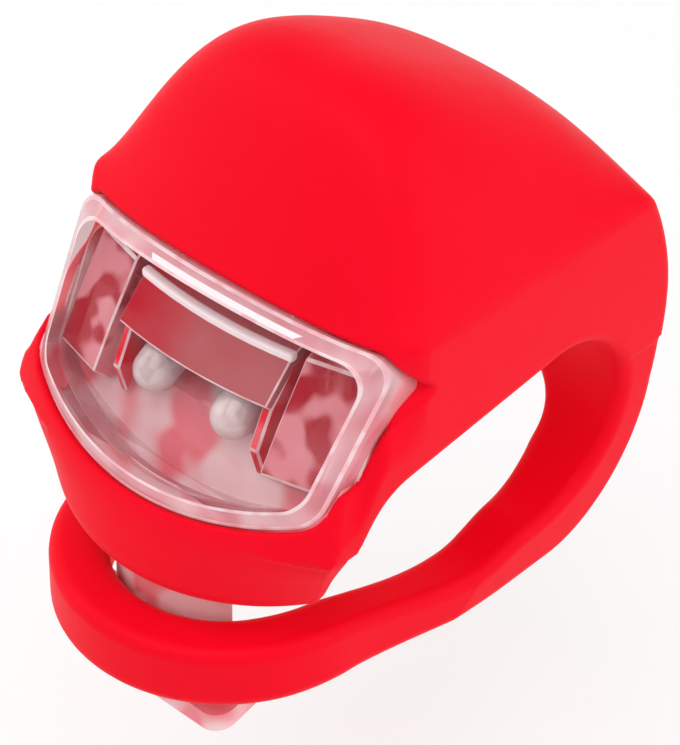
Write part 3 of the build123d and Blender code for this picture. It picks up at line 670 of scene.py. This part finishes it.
# %% The spring dome
SWITCH_Y, WELL, RISE, RIM_RADIUS, THICK = -6.5, 17.85, 0.47, 1.55, 0.06
share = np.linspace(0.06, 1, 12)
upper = np.stack([RIM_RADIUS * share, RISE * (1 - share * share)])
lower = np.stack([RIM_RADIUS * share, (RISE - THICK) * (1 - share * share)])[:, -2::-1]
radius, height = np.concatenate([upper, lower], axis=1)[:, :, None]
turn = np.linspace(0, 2 * math.pi, 48, endpoint=False)
rings = np.stack([radius * np.sin(turn), SWITCH_Y + radius * np.cos(turn), WELL + height + 0 * turn], axis=-1)
spring = skin("spring_dome", rings)
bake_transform(spring)
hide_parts("switch_dome")

# %% [markdown]
# Materials are node trees. Their maths is easier to read as expressions, so a small class wraps a socket:
# adding or multiplying two of them adds the Math node that does it. Every other node comes from one
# method, and every pattern is in Object coordinates, which stay with the piece when it moves.

# %% Shader maths as expressions
class Wire:
    """A socket of a node tree, with the operators that the materials use."""

    def __init__(self, tree, socket):
        self.tree, self.socket = tree, socket

    def math(self, operation, *others):
        """This socket and the others through one Math node."""
        return self.tree.node("ShaderNodeMath", {"operation": operation}, dict(enumerate([self, *others])))

    def __add__(self, other):
        return self.math("ADD", other)

    def __mul__(self, other):
        return self.math("MULTIPLY", other)

    __radd__, __rmul__ = __add__, __mul__


class Tree:
    """A node tree with a method that adds any node."""

    def __init__(self, tree):
        self.nodes, self.links = tree.nodes, tree.links

    def node(self, kind, settings, inputs, output=0):
        """A node of this kind: its settings first, then the values or links of its sockets."""
        made = self.nodes.new(kind)
        for key, value in settings.items():
            setattr(made, key, value)
        for key, value in inputs.items():
            self.put(made.inputs[key], value)
        return Wire(self, made.outputs[output])

    def put(self, socket, value):
        """Links a wire to a socket, or sets the socket's value."""
        if isinstance(value, Wire):
            self.links.new(value.socket, socket)
        else:
            socket.default_value = value

    def in_view(self):
        """1 for a ray from the camera, straight or by way of a mirror or glass: the largest of three."""
        seen = [self.node("ShaderNodeLightPath", {}, {}, f"Is {kind} Ray")
                for kind in ("Camera", "Glossy", "Transmission")]
        return seen[0].math("MAXIMUM", seen[1]).math("MAXIMUM", seen[2])


class Finish(Tree):
    """A material with one Principled shader, and the patterns that the finishes share."""

    def __init__(self, name, **sockets):
        self.material = bpy.data.materials.new(name)
        self.material.use_nodes = True
        super().__init__(self.material.node_tree)
        self.shader = self.nodes["Principled BSDF"]
        self.set(**sockets)

    def set(self, **sockets):
        """Sets or links sockets of the shader by their names, with _ for a space."""
        for key, value in sockets.items():
            self.put(self.shader.inputs[key.replace("_", " ")], value)

    def place(self):
        """Where a point lies on the object."""
        return self.node("ShaderNodeTexCoord", {}, {}, "Object")

    def noise(self, scale, detail=2.0):
        """A cloud between 0 and 1, with this many lumps to the metre."""
        cloud = {"Vector": self.place(), "Scale": scale, "Detail": detail}
        return self.node("ShaderNodeTexNoise", {}, cloud, "Fac")

    def blend(self, share, first, second):
        """A colour between two colours (red, green, blue), which the node takes at sockets 6 and 7."""
        mixed = {"Factor": share, 6: (*first, 1), 7: (*second, 1)}
        return self.node("ShaderNodeMix", {"data_type": "RGBA"}, mixed, 2)

    def bump(self, height, strength, depth):
        """Small heights as tilted normals."""
        self.set(Normal=self.node("ShaderNodeBump", {}, {"Height": height, "Strength": strength,
                                                         "Distance": depth}, "Normal"))

    def wear(self, *pieces):
        """Makes this the one material of these pieces."""
        for piece in pieces:
            piece.data.materials.clear()
            piece.data.materials.append(self.material)
            print(piece.name, "wears", self.material.name)


# %% [markdown]
# Moulded silicone is deep in colour and nearly matt, with a soft bloom at grazing angles and a very fine
# grain. A little light goes into it and comes out again, so it has some Subsurface. Its colour and
# roughness hardly vary.

# %% Red silicone
red = Finish("red silicone", Specular_IOR_Level=0.06, Sheen_Weight=0.03, Sheen_Roughness=0.35,
             Subsurface_Weight=0.05, Subsurface_Scale=0.001, Subsurface_Radius=(1.0, 0.15, 0.1))
red.set(Base_Color=red.blend(red.noise(120.0), (0.82, 0.0008, 0.012), (0.88, 0.0012, 0.018)),
        Roughness=0.42 + 0.14 * red.noise(900.0))
red.bump(red.noise(5000.0, 3.0), 0.08, 0.00005)
red.wear(hood, strap_piece)

# %% [markdown]
# Clear plastic could be a Transmission shader, but inside a closed hood that turns dark, because soft
# lamps hardly reach through refracting walls. So it takes its look from thin, pale layers: each surface
# covers a share of what lies behind it and lets the light through, and the inside stays bright. The
# facets of the real capsule mirror the red round them, which patches of two colours stand for.

# %% Plain and see-through finishes
def plain(name, dark, light, roughness, **sockets):
    """A finish with two close colours in a fine cloud and a fine grain."""
    finish = Finish(name, **sockets)
    finish.set(Base_Color=finish.blend(finish.noise(260.0), dark, light),
               Roughness=roughness + 0.1 * finish.noise(1800.0))
    finish.bump(finish.noise(4000.0), 0.1, 0.00003)
    return finish


def reflection_mottled(name, dark, light, size, alpha, low=0.4, high=0.6, **sockets):
    """Painted reflections as patches of two colours on see-through plastic: a cloud of this size, sharpened
    from low to high.
    """
    finish = Finish(name, Roughness=0.1, Alpha=alpha, **sockets)
    patches = finish.node("ShaderNodeMapRange", {"interpolation_type": "SMOOTHSTEP"}, {
        "Value": finish.noise(1 / size, 1.0), "From Min": low, "From Max": high})
    finish.set(Base_Color=finish.blend(patches, dark, light))
    return finish


clear = reflection_mottled("clear plastic", (0.9, 0.3, 0.35), (1.0, 0.8, 0.83), 0.003, 0.02)
frosted = reflection_mottled("clear rim", (0.8, 0.26, 0.31), (0.93, 0.58, 0.62), 0.003, 0.6, 0.3, 0.7, IOR=1.8)
# A white painted highlight, for the lens's upper stripe and the bars on the brow.
painted_highlight = plain("painted white highlight", (0.88, 0.74, 0.77), (0.95, 0.84, 0.86), 0.4)
# Pale painted glints along the bends of the lens and of the light box.
line = reflection_mottled("painted pale glint", (0.9, 0.5, 0.54), (0.95, 0.75, 0.78), 0.0015, 0.8)
clear.wear(lens)
for finish in (frosted, painted_highlight, line):
    lens.data.materials.append(finish.material)
lens.data.polygons.foreach_set("material_index", lens_slots)
lens.data.update()
painted_highlight.wear(edge_highlights)

# %% [markdown]
# Behind the lens the clear plastic takes its colour from the silicone's light, so painted red reflections
# stand for it: the cheeks are seen almost as red, the capsule's ends and its wall are pink, and the brow runs
# from a deep red at its left to a greyer one at its right, a painted change of light across it.

# %% Plastic behind the lens, with painted red light
# The capsule's clear wall is painted pink, a reflection of the red round it.
thin = reflection_mottled("clear inner wall", (0.92, 0.2, 0.25), (0.96, 0.66, 0.68), 0.0035, 0.8, 0.38, 0.62)
# The clear cheeks are painted almost red, a reflection of the silicone round them.
red_lit_cheek = reflection_mottled("red-lit cheek", (0.75, 0.002, 0.02), (0.85, 0.1, 0.13), 0.003, 0.92, Specular_IOR_Level=0.1)
facet = reflection_mottled("red-lit plastic", (0.5, 0.002, 0.02), (0.9, 0.3, 0.35), 0.0026, 0.65, 0.44, 0.56,
                Specular_IOR_Level=0.2)
# The light box is painted with the silicone's red reflection, deep at its left and greyer at its right.
red_lit_box = Finish("red-lit light box", Roughness=0.5, Specular_IOR_Level=0.05)
light_shift_to_right = red_lit_box.node("ShaderNodeMapRange", {"interpolation_type": "SMOOTHSTEP"}, {
    "Value": red_lit_box.node("ShaderNodeSeparateXYZ", {}, {0: red_lit_box.place()}) + 0.004 * red_lit_box.noise(260.0),
    "From Min": -0.003, "From Max": 0.003})
red_lit_box.set(Base_Color=red_lit_box.blend(light_shift_to_right, (0.45, 0.001, 0.014), (0.42, 0.09, 0.1)))
thin.wear(nodes["case_base"])
# Each of these gets the painted pale glint as its second slot, for its bevelled edges.
for finish, piece in ((red_lit_box, light_box), (red_lit_cheek, cheeks), (facet, end_blocks)):
    finish.wear(piece)
    piece.data.materials.append(line.material)

# %% [markdown]
# The lamps are clear resin over tinned metal. The cells, the contacts and the switch's cover and dome are
# steel, the board is lacquered green, and the rest is black or white plastic. Apart from the lamps, their
# cups and the spring dome, these are the CAD's own pieces and only get a finish.

# %% Lamps, metal and the pieces inside
resin = reflection_mottled("lamp resin", (0.66, 0.5, 0.5), (0.84, 0.7, 0.7), 0.0014, 0.7, IOR=1.8)
tinned = plain("tinned metal", (0.75, 0.74, 0.72), (0.86, 0.85, 0.83), 0.25, Metallic=1.0)
resin.wear(*lamps)
tinned.wear(*cups, nodes["led_leads"])
plain("cell steel", (0.62, 0.61, 0.6), (0.72, 0.71, 0.69), 0.25, Metallic=1.0).wear(
    nodes["battery_lower"], nodes["battery_upper"])
plain("spring steel", (0.62, 0.6, 0.54), (0.72, 0.7, 0.63), 0.2, Metallic=1.0).wear(
    nodes["contact_positive"], nodes["contact_negative"], nodes["switch_cover"], spring)
plain("board lacquer", (0.02, 0.16, 0.05), (0.04, 0.22, 0.08), 0.3).wear(nodes["circuit_board"])
plain("black plastic", (0.015, 0.015, 0.015), (0.03, 0.03, 0.03), 0.45).wear(
    nodes["control_chip"], nodes["resistors"], nodes["switch_body"], nodes["switch_plunger"])
plain("white plastic", (0.72, 0.72, 0.7), (0.8, 0.8, 0.78), 0.4).wear(
    nodes["battery_tray"], nodes["button_cap"])

# %% [markdown]
# The stage is a plain pale sheet of paper, turned to face the camera: a floor that runs up into a
# backdrop. It lies 26 mm under the part, so that the open strap doesn't dip into it. For rays that reach
# the camera, straight or by way of a mirror or glass, half of the paper's look is a plain white glow, and
# the world is white too, so its edges hardly show. On the object the world's light is weaker.

# %% Floor, backdrop and world
FLOOR_DROP, PAPER_HALF, BEND = 0.026, 0.7, 0.25
FLAT_TO, BENT_TO, START, BEND_FROM, CLIMB = 0.45, 0.75, -0.6, 0.3, 2.4
PAPER_GLOW, WORLD_LIGHT = 0.5, 0.6
floor_z = cad_box[0][2] - FLOOR_DROP
across, climb = np.meshgrid(np.linspace(-1, 1, 25), np.linspace(0, 1, 49), indexing="ij")
turn = np.clip((climb - FLAT_TO) / (BENT_TO - FLAT_TO), 0, 1) * math.pi / 2
flat = START + climb * (BEND_FROM - START) / FLAT_TO
along = np.where(climb < FLAT_TO, flat, BEND_FROM + BEND * np.sin(turn))
rise = np.where(climb < BENT_TO, BEND * (1 - np.cos(turn)), BEND + (climb - BENT_TO) * CLIMB)
cell = np.arange(across.size).reshape(across.shape)
quads = np.stack([cell[:-1, :-1], cell[1:, :-1], cell[1:, 1:], cell[:-1, 1:]], axis=-1).reshape(-1, 4)
stage_points = np.stack([across * PAPER_HALF, along, rise + floor_z], axis=-1).reshape(-1, 3)
heading = Matrix.Rotation(AZIMUTH, 4, "Z")
stage_points = stage_points @ np.array(heading.to_3x3()).T
stage = new_piece("floor", stage_points / MM, quads)
paper = Finish("white paper", Roughness=0.9)
paper.set(Base_Color=paper.blend(paper.noise(40.0), (0.93, 0.93, 0.93), (0.95, 0.95, 0.95)))
pale = paper.node("ShaderNodeMixShader", {}, {
    0: paper.in_view() * PAPER_GLOW, 1: Wire(paper, paper.shader.outputs["BSDF"]),
    2: paper.node("ShaderNodeEmission", {}, {"Strength": 1.0})})
paper.links.new(pale.socket, paper.nodes["Material Output"].inputs["Surface"])
paper.wear(stage)

world = bpy.data.worlds.new("studio")
scene.world = world
world.use_nodes = True
sky = Tree(world.node_tree)
sky.put(sky.nodes["Background"].inputs["Color"], (1, 1, 1, 1))
sky.put(sky.nodes["Background"].inputs["Strength"], WORLD_LIGHT + (1 - WORLD_LIGHT) * sky.in_view())

# %% [markdown]
# Three large soft lamps light the object, as in a product picture: the key lamp from high in front, one
# from the right and one from the left.

# %% The lamps of the studio
def soft_lamp(name, azimuth, elevation, power, distance=0.5, size=0.4):
    """A square lamp that looks at the object from a direction given in degrees."""
    a, e = math.radians(azimuth), math.radians(elevation)
    towards = Vector((math.sin(a) * math.cos(e), -math.cos(a) * math.cos(e), math.sin(e)))
    lamp_data = bpy.data.lights.new(name, "AREA")
    lamp_data.shape, lamp_data.size, lamp_data.energy = "SQUARE", size, power
    lamp = bpy.data.objects.new(name, lamp_data)
    facing = towards.to_track_quat("Z", "Y").to_matrix().to_4x4()
    lamp.matrix_world = Matrix.Translation(towards * distance) @ facing
    scene.collection.objects.link(lamp)
    print(name, "at", azimuth, elevation, "degrees,", power, "W")


soft_lamp("key", 20, 60, 0.9)
soft_lamp("right", 110, 25, 0.85)
soft_lamp("left", -60, 30, 0.7)

# %% [markdown]
# Last, the view transform is set to Standard.

# %% The view transform
scene.view_settings.view_transform = "Standard"
